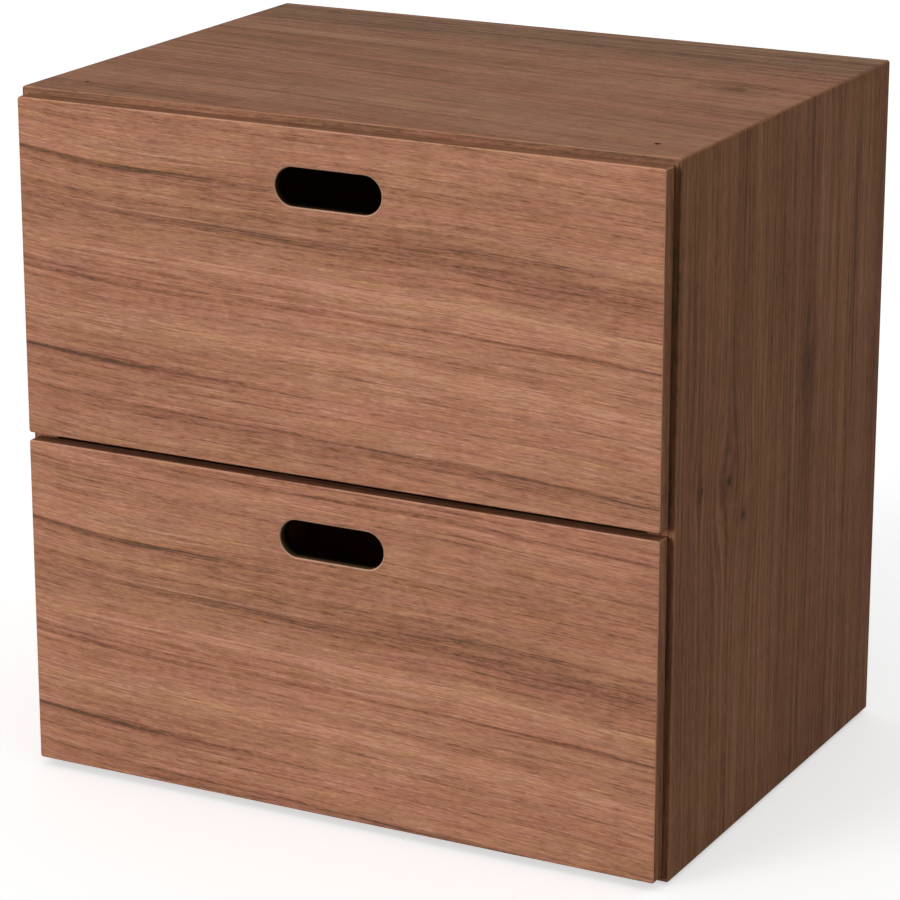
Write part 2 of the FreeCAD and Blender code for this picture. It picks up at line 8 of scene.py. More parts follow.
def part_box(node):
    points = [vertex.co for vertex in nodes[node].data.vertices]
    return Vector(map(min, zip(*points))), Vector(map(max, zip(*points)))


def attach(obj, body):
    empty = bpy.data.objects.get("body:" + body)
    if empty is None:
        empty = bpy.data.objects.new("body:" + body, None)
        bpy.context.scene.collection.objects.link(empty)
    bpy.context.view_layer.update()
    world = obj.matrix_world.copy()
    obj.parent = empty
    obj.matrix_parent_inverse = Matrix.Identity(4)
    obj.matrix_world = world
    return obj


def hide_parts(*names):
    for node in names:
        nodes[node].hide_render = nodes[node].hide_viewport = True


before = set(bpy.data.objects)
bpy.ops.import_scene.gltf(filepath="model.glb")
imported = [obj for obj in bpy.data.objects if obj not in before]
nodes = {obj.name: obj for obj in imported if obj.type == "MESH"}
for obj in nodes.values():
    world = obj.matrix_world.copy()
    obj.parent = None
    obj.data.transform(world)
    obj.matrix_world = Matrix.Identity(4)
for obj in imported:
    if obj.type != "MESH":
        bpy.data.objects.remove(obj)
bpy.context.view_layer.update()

mm = 0.001
print("frame:", len(nodes), "nodes")


# Small helpers for shader nodes

def feed(tree, socket, value):
    if isinstance(value, bpy.types.NodeSocket):
        tree.links.new(value, socket)
    else:
        socket.default_value = value


def addNode(tree, kind, sockets=None, **settings):
    node = tree.nodes.new("ShaderNode" + kind)
    for name, value in settings.items():
        setattr(node, name, value)
    for key, value in (sockets or {}).items():
        feed(tree, node.inputs[key], value)
    return node


def calc(tree, operation, *values):
    return addNode(tree, "Math", dict(enumerate(values)), operation=operation).outputs[0]


def total(tree, *values):
    result = values[0]
    for value in values[1:]:
        result = calc(tree, "ADD", result, value)
    return result


def scaled(tree, value, amount):
    return calc(tree, "MULTIPLY", value, amount)


def added(tree, base, value, amount):
    # base and so much of value
    return calc(tree, "MULTIPLY_ADD", value, amount, base)


def measured(tree, value, start, unit):
    # how many units value lies past start
    return calc(tree, "DIVIDE", calc(tree, "SUBTRACT", value, start), unit)


def squares(tree, x, y):
    return total(tree, calc(tree, "POWER", x, 2.0), calc(tree, "POWER", y, 2.0))


def distance(tree, x, y):
    return calc(tree, "SQRT", squares(tree, x, y))


def between(tree, share, first, second):
    # first where share is 0, second where it is 1
    return addNode(tree, "Mix", {0: share, 2: first, 3: second}, data_type="FLOAT").outputs[0]


def steps(tree, value, low, high, start=0.0, end=1.0):
    # smooth change from start to end while value goes from low to high
    sockets = {"Value": value, "From Min": low, "From Max": high, "To Min": start, "To Max": end}
    return addNode(tree, "MapRange", sockets, interpolation_type="SMOOTHSTEP").outputs[0]


def splitAxes(tree, output):
    return addNode(tree, "SeparateXYZ", {0: addNode(tree, "TexCoord").outputs[output]}).outputs


def joinAxes(tree, along, across, depth):
    return addNode(tree, "CombineXYZ", {0: along, 1: across, 2: depth}).outputs[0]


def grey(level):
    return (level,) * 3


def paint(red, green, blue):
    # a colour read off a screen, 0 to 255, as the shader's own numbers
    return tuple(((part / 255 + 0.055) / 1.055) ** 2.4 for part in (red, green, blue))


def ramp(tree, value, stops, mode="LINEAR"):
    node = addNode(tree, "ValToRGB", {0: value})
    node.color_ramp.interpolation = mode
    elements = node.color_ramp.elements
    elements[1].position = 1.0
    for index, (place, colour) in enumerate(sorted(stops)):
        element = elements[index] if index < 2 else elements.new(place)
        element.position = place
        element.color = (*colour, 1.0)
    return node.outputs["Color"]


def curve(tree, value, points):
    node = addNode(tree, "FloatCurve", {"Value": value})
    line = node.mapping.curves[0]
    for index, (x, y) in enumerate(points):
        if index < 2:
            line.points[index].location = (x, y)
        else:
            line.points.new(x, y)
    node.mapping.update()
    return node.outputs[0]


def mixColour(tree, share, first, second, blend="MIX"):
    # each colour is a socket, or red, green and blue
    first, second = ((*part, 1.0) if isinstance(part, tuple) else part for part in (first, second))
    sockets = {0: share, 6: first, 7: second}
    return addNode(tree, "Mix", sockets, data_type="RGBA", blend_type=blend).outputs[2]


def washed(tree, colour, wash, share=1.0):
    return mixColour(tree, share, colour, wash, "MULTIPLY")


def addBump(tree, shader, height, strength, depth):
    bump = addNode(tree, "Bump", {"Height": height, "Strength": strength, "Distance": depth})
    feed(tree, shader.inputs["Normal"], bump.outputs[0])


def newMaterial(name):
    material = bpy.data.materials.new(name)
    material.use_nodes = True
    return material, material.node_tree, material.node_tree.nodes["Principled BSDF"]


def dress(node, material):
    mesh = nodes[node].data
    mesh.materials.clear()
    mesh.materials.append(material)


# Layers of grain

# length and width of one speck, detail, and a step from the board's seed;
# a name stands for a size that each board has of its own
grainLayers = {
    "wander": ("wanderLength", "wanderWidth", 1.0, 0),
    "ripple": (45 * mm, 9 * mm, 1.0, 3),
    "bands": (420 * mm, "bandWidth", 2.0, 5),
    "lines": (130 * mm, "lineWidth", 2.0, 9),
    "fibres": (34 * mm, 1.1 * mm, 2.0, 13),
    "threads": (9 * mm, 0.5 * mm, 1.0, 17),
    "hairs": (75 * mm, 0.8 * mm, 1.0, 19),
    "mottle": (14 * mm, 40 * mm, 1.0, 21),
    "flecks": (4 * mm, 0.9 * mm, 1.0, 23),
    "ringPatches": (160 * mm, 14 * mm, 1.0, 25),
    "dashes": (10 * mm, 2.4 * mm, 1.0, 27),
    "pores": (6 * mm, 0.42 * mm, 1.0, 29),
    "broadTint": (260 * mm, 22 * mm, 1.0, 33),
    "middleTint": (80 * mm, 5 * mm, 1.0, 37),
    "endDrift": (1.0, 9 * mm, 1.0, 41),
    "endPores": (1.0, 0.55 * mm, 1.0, 45),
    "warmth": (26 * mm, 2.6 * mm, 1.0, 49),
    "fineTint": (16 * mm, 1.8 * mm, 1.0, 53),
}

# where a layer starts to show and where it is full
layerSteps = {
    "hairs": (0.03, 0.2), "ringPatches": (-0.12, 0.16), "pores": (0.04, 0.2), "tint": (-0.2, 0.2),
}

tintShares = {"broadTint": 0.65, "middleTint": 0.65, "fineTint": 0.75}
ringSharpness = 3.0
latePores = 0.06  # how many more pores the late wood has
seedSpread = (1.0, 1.7, 0.6)  # how far a seed moves the noise along each axis


def grainNoise(tree, place, length, width, detail, seed):
    # noise drawn out along the grain, as a number about 0
    spot = addNode(tree, "VectorMath", {0: place, 1: (1 / length, 1 / width, 1 / width)},
                   operation="MULTIPLY").outputs[0]
    shift = tuple(seed * part for part in seedSpread)
    spot = addNode(tree, "VectorMath", {0: spot, 1: shift}).outputs[0]
    noise = addNode(tree, "TexNoise", {"Vector": spot, "Scale": 1.0, "Detail": detail})
    return calc(tree, "SUBTRACT", noise.outputs[0], 0.5)


def layer(tree, place, name, look):
    length, width, detail, step = grainLayers[name]
    return grainNoise(tree, place, look.get(length, length), look.get(width, width), detail,
                      look["seed"] + step)


def lateWood(tree, turn):
    # growth rings: darker and darker down to a sharp late line
    return calc(tree, "POWER", calc(tree, "FRACT", turn), ringSharpness)


def grainParts(tree, across, place, look):
    # each part of the figure, under the name that its strength has in the look
    plain = ("bands", "lines", "fibres", "threads", "hairs", "mottle", "flecks", "dashes")
    parts = {name: layer(tree, place, name, look) for name in plain}
    parts["hairs"] = steps(tree, parts["hairs"], *layerSteps["hairs"])
    turn = scaled(tree, parts["bands"], look["ringDrift"])
    turn = added(tree, turn, across, 1 / look["ringWidth"])
    patches = steps(tree, layer(tree, place, "ringPatches", look), *layerSteps["ringPatches"])
    parts["rings"] = calc(tree, "MULTIPLY", lateWood(tree, turn), patches)
    pores = added(tree, layer(tree, place, "pores", look), parts["rings"], latePores)
    parts["pores"] = steps(tree, pores, *layerSteps["pores"])
    return parts


# Streaks, knots, slots, holes and sawn ends

streakRise = {"share": 0.3, "most": 1.6 * mm}  # the sharp side, as a share of the breadth


def streakRamp(tree, across, streaks, span):
    # each streak has a place across the grain, a breadth and a darkness; its first side is sharp
    low, high = span
    stops = [(0.0, grey(0.5)), (1.0, grey(0.5))]  # middle grey stands for no streak
    for place, breadth, darkness in streaks:
        sharp = min(breadth * streakRise["share"], streakRise["most"])
        for at, level in ((place - sharp, 0.0), (place, darkness), (place + breadth, 0.0)):
            stops.append(((at - low) / (high - low), grey(0.5 + level / 2)))
    share = measured(tree, across, low, high - low)
    shade = addNode(tree, "RGBToBW", {0: ramp(tree, share, stops)}).outputs[0]
    return calc(tree, "MULTIPLY_ADD", shade, 2.0, -1.0)


# a pin knot's dark heart and the brown flare round it: where they fade, and how dark they are;
# how far the grain's way round it is drawn out, and how far the grain gives way
knotShape = {
    "heart": (0.15, 1.0), "heartShare": 0.8, "flare": (0.6, 3.0), "flareShare": 0.3,
    "drawnOut": 2.4, "push": 0.8,
}


def knot(tree, along, across, spot):
    x = measured(tree, along, spot["along"], spot["length"])
    y = measured(tree, across, spot["across"], spot["breadth"])
    reach = distance(tree, x, y)
    heart = steps(tree, reach, *knotShape["heart"], knotShape["heartShare"] * spot["darkness"], 0.0)
    flare = steps(tree, reach, *knotShape["flare"], knotShape["flareShare"] * spot["darkness"], 0.0)
    return total(tree, heart, flare)


def flowRound(tree, along, across, spot):
    # the grain parts before a knot and closes behind it
    x = measured(tree, along, spot["along"], spot["flow"] * knotShape["drawnOut"])
    y = measured(tree, across, spot["across"], spot["flow"])
    near = calc(tree, "EXPONENT", scaled(tree, squares(tree, x, y), -1.0))
    return added(tree, across, calc(tree, "MULTIPLY", y, near), -knotShape["push"] * spot["flow"])


def slotDistance(tree, along, across, slot):
    # how far a point lies outside the slot's outline, below zero inside it
    half = slot["height"] / 2
    x = calc(tree, "ABSOLUTE", calc(tree, "SUBTRACT", along, slot["along"]))
    x = calc(tree, "MAXIMUM", calc(tree, "SUBTRACT", x, slot["length"] / 2 - half), 0.0)
    y = calc(tree, "SUBTRACT", across, slot["across"])
    return calc(tree, "SUBTRACT", distance(tree, x, y), half)


def slotRimAndShade(tree, colour, along, across, depth, slot):
    # a pale rim, partly rubbed bare wood and partly a painted highlight; then the walls darker, partly
    # a dark stain and partly painted shade, and nearly black further in as painted shade
    apart = slotDistance(tree, along, across, slot)
    rimEnds = (slot["rim"], slot["rimFull"] * slot["rim"])
    rim = calc(tree, "MULTIPLY", steps(tree, apart, *rimEnds), steps(tree, depth, *rimEnds))
    colour = mixColour(tree, scaled(tree, rim, slot["rimShare"]), colour, slot["pale"])
    wallStainAndShade = mixColour(tree, steps(tree, depth, 0.0, slot["fade"]), slot["wallStainAndShade"], slot["shadeBlack"])
    wallStart, wallFull = slot["wallDepth"]
    wall = calc(tree, "MULTIPLY", steps(tree, apart, slot["wallEdge"] * slot["rim"], 0.0),
                steps(tree, depth, wallStart * slot["rim"], wallFull * slot["rim"]))
    return mixColour(tree, wall, colour, wallStainAndShade)


holeFade = {"side": 1.15, "lip": 0.1}  # soft edges of the bore's painted shade, as shares of its radius


def holeRingAndShade(tree, colour, along, across, depth, hole):
    # a darker ring round the hole, and painted shade inside the bore
    x = calc(tree, "SUBTRACT", along, hole["along"])
    y = calc(tree, "SUBTRACT", across, hole["across"])
    reach = distance(tree, x, y)
    radius = hole["radius"]
    darkRing = steps(tree, reach, hole["rim"], radius, 0.0, hole["rimShare"])
    boreShade = calc(tree, "MULTIPLY", steps(tree, reach, holeFade["side"] * radius, radius),
                steps(tree, depth, 0.0, holeFade["lip"] * radius))
    return mixColour(tree, calc(tree, "MAXIMUM", darkRing, boreShade), colour, hole["dark"])


sawnEnd = {"late": 0.22, "pores": 0.5}


def endGrain(tree, across, depth, look):
    # sawn ends: arcs of the year rings round a far pith, with open pores between
    side = calc(tree, "SUBTRACT", across, look["pith"][0])
    rise = calc(tree, "SUBTRACT", depth, look["pith"][1])
    place = joinAxes(tree, 0.0, across, depth)
    turn = added(tree, layer(tree, place, "endDrift", look), distance(tree, side, rise),
                 1 / look["ringWidth"])
    pores = layer(tree, place, "endPores", look)
    return total(tree, look["endLevel"], scaled(tree, lateWood(tree, turn), sawnEnd["late"]),
                 scaled(tree, pores, sawnEnd["pores"]))


# Wood

# by its normal: where a face begins to count as such a face, and where it fully does
facingSteps = {
    "end": (0.6, 0.8), "front": (-0.7, -0.95), "upper": (0.9, 0.99),
    "rounded": (0.98, 0.86), "highlightSide": (-0.3, 0.0),
}

woodSurface = {
    "fibreRoughness": 0.12, "poreRoughness": 0.12, "fibreHeight": 0.5, "poreHeight": -0.6,
    "strength": 0.25, "depth": 0.08 * mm,
}


def boardAxes(tree, axes, corner):
    # lengths along the grain, across it and into the board, from one corner of the board
    split = splitAxes(tree, "Object")
    lengths = []
    for axis, start in zip(axes, corner):
        sense = -1.0 if axis[0] == "-" else 1.0
        lengths.append(calc(tree, "MULTIPLY_ADD", split[axis[1]], sense, -sense * start))
    return lengths


def layGrain(tree, board, endFace, frontEdge, look):
    # the same lengths, bent to follow the grain
    along, across, depth = board
    if look["ends"] == "banded":  # veneer goes round the edges; over the end its grain follows the edge
        folded = total(tree, across, depth)
        along, across = between(tree, endFace, along, across), between(tree, endFace, folded, depth)
        depth = 0.0
    if look["sag"]:
        run = curve(tree, calc(tree, "DIVIDE", along, look["length"]), look["sagCurve"])
        across = added(tree, across, run, -look["sag"])
    if look["lean"]:  # the grain fans out, nearly level at the back and level on the front edge
        lean = steps(tree, across, 0.0, look["fan"], look["rearLean"], look["lean"])
        lean = between(tree, frontEdge, lean, 0.0)
        across = calc(tree, "SUBTRACT", across, calc(tree, "MULTIPLY", along, lean))
    return along, calc(tree, "SUBTRACT", across, look["leafStep"]), depth


def wandered(tree, along, across, depth, look):
    # the grain flows round the knots and wanders a little, and all lines are drawn on that
    for spot in look["knots"]:
        across = flowRound(tree, along, across, spot)
    place = joinAxes(tree, along, across, depth)
    for name in ("wander", "ripple"):
        across = added(tree, across, layer(tree, place, name, look), look[name])
    return across


def figure(tree, along, across, knotAcross, parts, look):
    # how dark the wood is, from 0 to 1
    shade = total(tree, look["level"],
                  *(scaled(tree, part, look[name]) for name, part in parts.items()))
    for group in look["streaks"]:
        dark = streakRamp(tree, across, group["places"], look["streakSpan"])
        fade = steps(tree, along, *group["fade"], *group["strength"])
        broken = calc(tree, "MULTIPLY_ADD", parts["lines"], group["broken"], 1.0)
        shade = total(tree, shade, calc(tree, "MULTIPLY", calc(tree, "MULTIPLY", dark, fade), broken))
    for spot in look["knots"]:
        shade = total(tree, shade, knot(tree, along, knotAcross, spot))
    return added(tree, shade, along, look["drift"] / look["length"])


def edgeWearAndLight(tree, shade, facing, frontEdge, look):
    # rounded edges are made paler, partly rubbed wear and partly a painted highlight, and only where
    # they look up or to the right; the front edge is darker, partly a darker edge band and partly
    # painted shade
    flattest = calc(tree, "ABSOLUTE", facing["X"])
    for axis in ("Y", "Z"):
        flattest = calc(tree, "MAXIMUM", flattest, calc(tree, "ABSOLUTE", facing[axis]))
    highlightSide = steps(tree, total(tree, facing["X"], facing["Z"]), *facingSteps["highlightSide"])
    rubbedAndLit = calc(tree, "MULTIPLY", highlightSide, steps(tree, flattest, *facingSteps["rounded"]))
    shade = added(tree, shade, rubbedAndLit, -look["rubbedAndLit"])
    # the front edge darker: partly a darker edge band, partly painted shade beside the proud fronts
    if look["frontEdge"]:
        shade = added(tree, shade, frontEdge, look["frontEdge"])
    return shade


def tinted(tree, colour, place, look):
    # patches of rosy and golden wood, and a finer change of warmth
    tint = total(tree, *(scaled(tree, layer(tree, place, name, look), share)
                         for name, share in tintShares.items()))
    wash = mixColour(tree, steps(tree, tint, *layerSteps["tint"]), look["rosy"], look["golden"])
    colour = washed(tree, colour, wash)
    warmth = steps(tree, layer(tree, place, "warmth", look), *layerSteps["tint"])
    cool, warm = (1.0, 1.0, 1.0 + look["warm"]), (1.0, 1.0, 1.0 - look["warm"])
    return washed(tree, colour, mixColour(tree, warmth, cool, warm))


# the board's own tones and stains, with painted light: a sheen at the rear, shade on the upper edge, a
# highlight and shade in the slot, shade in the holes
def stainsAndPaintedLight(tree, colour, board, facing, endFace, look):
    if "ash" in look:  # greyer towards the rear of the board: a painted sheen
        colour = washed(tree, colour, look["ash"], steps(tree, board[1], *look["ashFade"]))
    if look["ends"] == "banded":
        colour = washed(tree, colour, look["endWash"], endFace)
    if "upperEdgeStainAndShade" in look:  # the long edge that looks up is darker than the face, partly a darker stain and partly painted shade
        upper = steps(tree, facing["Z"], *facingSteps["upper"])
        colour = washed(tree, colour, look["upperEdgeStainAndShade"], upper)
    if "slot" in look:
        colour = slotRimAndShade(tree, colour, *board, look["slot"])
    for hole in look["holes"]:
        colour = holeRingAndShade(tree, colour, *board, hole)
    return colour


def finishSurface(tree, shader, parts, look):
    fibres, pores = parts["fibres"], parts["pores"]
    rough = added(tree, look["roughness"], fibres, woodSurface["fibreRoughness"])
    feed(tree, shader.inputs["Roughness"], added(tree, rough, pores, woodSurface["poreRoughness"]))
    shader.inputs["Specular IOR Level"].default_value = look["gloss"]
    height = total(tree, scaled(tree, fibres, woodSurface["fibreHeight"]),
                   scaled(tree, pores, woodSurface["poreHeight"]))
    addBump(tree, shader, height, woodSurface["strength"], woodSurface["depth"])


def wood(name, axes, corner, look):
    material, tree, shader = newMaterial(name)
    board = boardAxes(tree, axes, corner)
    facing = splitAxes(tree, "Normal")
    endFace = steps(tree, calc(tree, "ABSOLUTE", facing[axes[0][1]]), *facingSteps["end"])
    frontEdge = steps(tree, facing["Y"], *facingSteps["front"])
    along, laid, depth = layGrain(tree, board, endFace, frontEdge, look)
    across = wandered(tree, along, laid, depth, look)
    place = joinAxes(tree, along, across, depth)
    parts = grainParts(tree, across, place, look)
    shade = figure(tree, along, across, laid, parts, look)
    if look["ends"] == "sawn":
        shade = between(tree, endFace, shade, endGrain(tree, board[1], board[2], look))
    shade = edgeWearAndLight(tree, shade, facing, frontEdge, look)
    colour = tinted(tree, ramp(tree, shade, look["tones"], "EASE"), place, look)
    feed(tree, shader.inputs["Base Color"], stainsAndPaintedLight(tree, colour, board, facing, endFace, look))
    finishSurface(tree, shader, parts, look)
    return material


# how the grain lies: along it, across it and into the board
grainRuns = {
    "leftToRight": ("+X", "-Z", "+Y"), "frontToBack": ("+Y", "-Z", "+X"), "lying": ("+X", "-Y", "-Z"),
    "rightSide": ("-Z", "+Y", "-X"), "leftSide": ("-Z", "+Y", "+X"), "back": ("-Z", "+X", "+Y"),
}


def dressWood(node, name, run, look):
    # the lengths start at the corner of the board that its three axes lead away from
    low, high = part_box(node)
    axes = grainRuns[run]
    corner = [getattr(low if axis[0] == "+" else high, axis[1].lower()) for axis in axes]
    dress(node, wood(name, axes, corner, look))


def reseeded(look, step):
    return {**look, "seed": look["seed"] + step}


# Walnut veneer on the fronts and the carcass

walnutTones = [
    (0.00, paint(194, 146, 118)),
    (0.25, paint(176, 127, 100)),
    (0.50, paint(157, 110, 86)),
    (0.75, paint(131, 90, 69)),
    (1.00, paint(92, 71, 57)),
]

frontLook = {
    "seed": 2.0, "length": 363 * mm, "ends": "banded", "lean": 0.0, "leafStep": 0.0,
    "sag": 15.5 * mm, "sagCurve": [(0, 0), (1, 1), (0.17, 0.33), (0.42, 0.5), (0.7, 0.66)],
    "wander": 5 * mm, "wanderLength": 150 * mm, "wanderWidth": 45 * mm, "ripple": 1.6 * mm,
    "bandWidth": 22 * mm, "lineWidth": 4 * mm, "ringWidth": 4.6 * mm, "ringDrift": 2.4,
    "level": 0.255, "bands": 0.42, "lines": 0.46, "fibres": 0.6, "threads": 0.6, "hairs": 0.22,
    "flecks": 0.5, "dashes": 0.36, "mottle": 0.16, "rings": 0.27, "pores": 0.2,
    "rubbedAndLit": 0.42, "frontEdge": 0.0, "drift": 0.0,
    "golden": (1.017, 1.005, 0.946), "rosy": (1.064, 0.955, 0.967), "warm": 0.07,
    "endWash": (0.94, 0.96, 0.84),
    "roughness": 0.55, "gloss": 0.05, "tones": walnutTones, "knots": [], "holes": [],
    "streakSpan": (-25 * mm, 182 * mm),
    "streaks": [
        # dark late lines that run in from the left and thin out
        {"places": [(24.5 * mm, 3.2 * mm, 0.58), (86 * mm, 2.6 * mm, 0.4), (129 * mm, 4.4 * mm, 0.66)],
         "broken": 0.6, "fade": (40 * mm, 190 * mm), "strength": (1.0, 0.12)},
        # bands that run the whole length, dark ones and, below zero, pale ones
        {"places": [(-19.5 * mm, 3 * mm, 0.3), (41 * mm, 4 * mm, 0.3), (47.5 * mm, 7 * mm, 0.31),
                    (69 * mm, 9 * mm, -0.2), (83 * mm, 3 * mm, 0.3), (104 * mm, 14 * mm, -0.12),
                    (149 * mm, 9 * mm, 0.19)],
         "broken": 1.5, "fade": (0.0, 120 * mm), "strength": (0.55, 1.0)},
    ],
}

# the finger slot, from the left and the top of its front; the last three are shares of the rim
slotLook = {
    "along": 181.5 * mm, "across": 30 * mm, "length": 60 * mm, "height": 20 * mm, "rim": 0.75 * mm,
    # pale is the rim, partly a painted highlight; black is painted shade deep in the slot
    "pale": paint(212, 180, 156), "rimShare": 0.4, "shadeBlack": paint(8, 6, 4), "fade": 6 * mm,
    "rimFull": 0.7, "wallEdge": 0.2, "wallDepth": (0.4, 1.2),
}

# the two leaves: the lower is set 17 mm down, and it darkens a little towards the right; on both the
# edge that looks up is darker, partly a stain and partly painted shade
# the slot walls' colour is partly a dark stain and partly painted shade, lighter in the lower slot
leafLooks = {
    "upper": {
        **frontLook, "upperEdgeStainAndShade": (0.68, 0.66, 0.6),
        "slot": {**slotLook, "wallStainAndShade": paint(82, 62, 39)},
    },
    "lower": {
        **frontLook, "upperEdgeStainAndShade": (0.68, 0.66, 0.6), "leafStep": 17 * mm, "level": 0.225, "drift": 0.1,
        "slot": {**slotLook, "wallStainAndShade": paint(120, 95, 60)},
    },
}

topLook = {
    **frontLook, "seed": 41.0, "sag": 0.0, "lean": 0.11, "rearLean": 0.022, "fan": 160 * mm,
    "level": 0.33, "bands": 0.56, "lines": 0.55, "fibres": 0.5, "threads": 0.4, "rings": 0.2,
    "pores": 0.2, "flecks": 0.34, "dashes": 0.26, "rubbedAndLit": 0.12, "ringWidth": 7.5 * mm, "gloss": 0.03,
    "golden": (0.95, 1.03, 0.975), "rosy": (1.05, 0.99, 0.995), "frontEdge": 0.3,
    # the top greyer towards the rear: a painted sheen
    "ash": (0.93, 1.06, 1.1), "ashFade": (95 * mm, 19 * mm),
    "streakSpan": (-45 * mm, 275 * mm),
    "streaks": [
        {"places": [(6 * mm, 52 * mm, 0.13)],
         "broken": 1.5, "fade": (0.0, 100 * mm), "strength": (1.0, 1.0)},
        {"places": [(26 * mm, 14 * mm, 0.15)],
         "broken": 1.5, "fade": (120 * mm, 240 * mm), "strength": (0.1, 1.0)},
        {"places": [(77 * mm, 10 * mm, 0.18)],
         "broken": 1.5, "fade": (100 * mm, 260 * mm), "strength": (1.0, 0.1)},
    ],
    "knots": [
        {"along": 327 * mm, "across": 80 * mm, "length": 11 * mm, "breadth": 6 * mm,
         "darkness": 0.38, "flow": 12 * mm},
    ],
    "holes": [
        {"along": 24 * mm, "across": 246 * mm, "radius": 1.0 * mm, "rim": 1.9 * mm,
         "rimShare": 0.5, "dark": paint(40, 26, 17)},
        {"along": 346 * mm, "across": 246 * mm, "radius": 1.0 * mm, "rim": 2.4 * mm,
         "rimShare": 0.9, "dark": paint(28, 18, 12)},
    ],
}

sideLook = {
    **frontLook, "seed": 63.0, "sag": 0.0, "wander": 3 * mm, "wanderLength": 260 * mm, "gloss": 0.02,
    "bandWidth": 26 * mm, "lineWidth": 3 * mm, "ringWidth": 4.5 * mm,
    "level": 0.395, "bands": 0.56, "lines": 0.85, "fibres": 0.55, "threads": 0.3, "hairs": 0.12,
    "flecks": 0.34, "dashes": 0.3, "rings": 0.24, "pores": 0.12, "rubbedAndLit": 0.08,
    "golden": (1.005, 1.015, 0.806), "rosy": (1.053, 0.98, 0.898), "frontEdge": 0.3,
    "streakSpan": (-10 * mm, 290 * mm),
    "streaks": [
        {"places": [(52 * mm, 4 * mm, -0.16), (59 * mm, 4 * mm, -0.15), (108 * mm, 5 * mm, -0.12),
                    (147 * mm, 6 * mm, -0.16), (163 * mm, 14 * mm, 0.2), (200 * mm, 9 * mm, 0.12),
                    (214 * mm, 6 * mm, -0.18), (226 * mm, 8 * mm, 0.1)],
         "broken": 1.5, "fade": (0.0, 100 * mm), "strength": (0.8, 1.0)},
    ],
    "knots": [
        # the grain swells broadly here, and three pin knots lie in the swelling
        {"along": 182 * mm, "across": 58 * mm, "length": 46 * mm, "breadth": 24 * mm,
         "darkness": 0.06, "flow": 19 * mm},
        {"along": 172 * mm, "across": 31 * mm, "length": 3.6 * mm, "breadth": 2.8 * mm,
         "darkness": 0.42, "flow": 12 * mm},
        {"along": 176 * mm, "across": 65 * mm, "length": 3.8 * mm, "breadth": 3.4 * mm,
         "darkness": 0.55, "flow": 14 * mm},
        {"along": 199 * mm, "across": 84 * mm, "length": 4 * mm, "breadth": 4.8 * mm,
         "darkness": 0.45, "flow": 12 * mm},
        # one more knot, higher up and nearer the back
        {"along": 138 * mm, "across": 168 * mm, "length": 17 * mm, "breadth": 7 * mm,
         "darkness": 0.36, "flow": 10 * mm},
    ],
}

# boards that the photo doesn't show have the same wood without the marks
plainBoard = {"knots": [], "streaks": [], "holes": []}
bottomLook = {**topLook, "seed": 55.0, **plainBoard}
leftLook = {**sideLook, "seed": 77.0, **plainBoard}
backLook = {**sideLook, "seed": 91.0, **plainBoard, "roughness": 0.75, "frontEdge": 0.0}


def dressWalnut():
    for level, look in leafLooks.items():
        dressWood(level + "_drawer_front", level + "FrontWalnut", "leftToRight", look)
    dressWood("top_panel", "topWalnut", "lying", topLook)
    dressWood("bottom_panel", "bottomWalnut", "lying", bottomLook)
    dressWood("right_side_panel", "rightSideWalnut", "rightSide", sideLook)
    dressWood("left_side_panel", "leftSideWalnut", "leftSide", leftLook)
    dressWood("back_panel", "backWalnut", "back", backLook)


dressWalnut()
print("walnut: fronts and carcass")


# Drawer boxes, their bottoms, the runners and the tongues in the mitres

boxLook = {
    **frontLook, "seed": 120.0, "ends": "sawn", "sag": 0.0, "gloss": 0.15, "roughness": 0.68,
    "bandWidth": 30 * mm, "lineWidth": 5 * mm, "ringWidth": 9 * mm, "wander": 6 * mm,
    "level": 0.36, "bands": 0.4, "lines": 0.35, "fibres": 0.3, "threads": 0.3, "hairs": 0.12,
    "flecks": 0.12, "dashes": 0.1, "rings": 0.3, "pores": 0.12, "rubbedAndLit": 0.08, "streaks": [],
    "pith": (60 * mm, -45 * mm), "endLevel": 0.72,
    "golden": (1.02, 0.995, 0.95), "rosy": (1.04, 0.98, 0.97), "warm": 0.03,
    "tones": [
        (0.00, paint(234, 205, 166)),
        (0.30, paint(222, 188, 147)),
        (0.60, paint(205, 166, 124)),
        (1.00, paint(163, 121, 83)),
    ],
}

plyLook = {
    **boxLook, "seed": 150.0, "ends": "banded",
    "wander": 34 * mm, "wanderLength": 190 * mm, "wanderWidth": 90 * mm, "ringDrift": 4.0,
    "bandWidth": 60 * mm, "lineWidth": 9 * mm, "ringWidth": 14 * mm,
    "level": 0.3, "rings": 0.26, "pores": 0.18, "hairs": 0.06,
    "tones": [
        (0.00, paint(229, 206, 170)),
        (0.35, paint(216, 188, 148)),
        (0.70, paint(198, 165, 123)),
        (1.00, paint(166, 128, 88)),
    ],
}

runnerLook = {
    **boxLook, "seed": 180.0, "gloss": 0.4, "roughness": 0.42, "ringWidth": 3 * mm,
    "lineWidth": 2 * mm, "bandWidth": 8 * mm, "pores": 0.24, "level": 0.38,
    "pith": (30 * mm, -25 * mm),
    "tones": [
        (0.00, paint(214, 178, 138)),
        (0.40, paint(198, 158, 117)),
        (0.70, paint(180, 138, 98)),
        (1.00, paint(140, 100, 68)),
    ],
}

tongueLook = {**runnerLook, "seed": 210.0, "gloss": 0.1, "roughness": 0.75}

# steps between the seeds, so that boards cut from one look differ
drawerSteps = {"upper": 0.0, "lower": 7.0}
boardSteps = {"box_front": 0.0, "box_back": 1.9, "box_left_side": 3.8, "box_right_side": 5.7}
rowSteps = {"runner": {"upper": 5.0, "lower": 5.0}, "spline": {"top": 3.0, "bottom": 6.0}}
handSteps = {"left": 2.3, "right": 0.0}


def plainName(node):
    return node.title().replace("_", "")


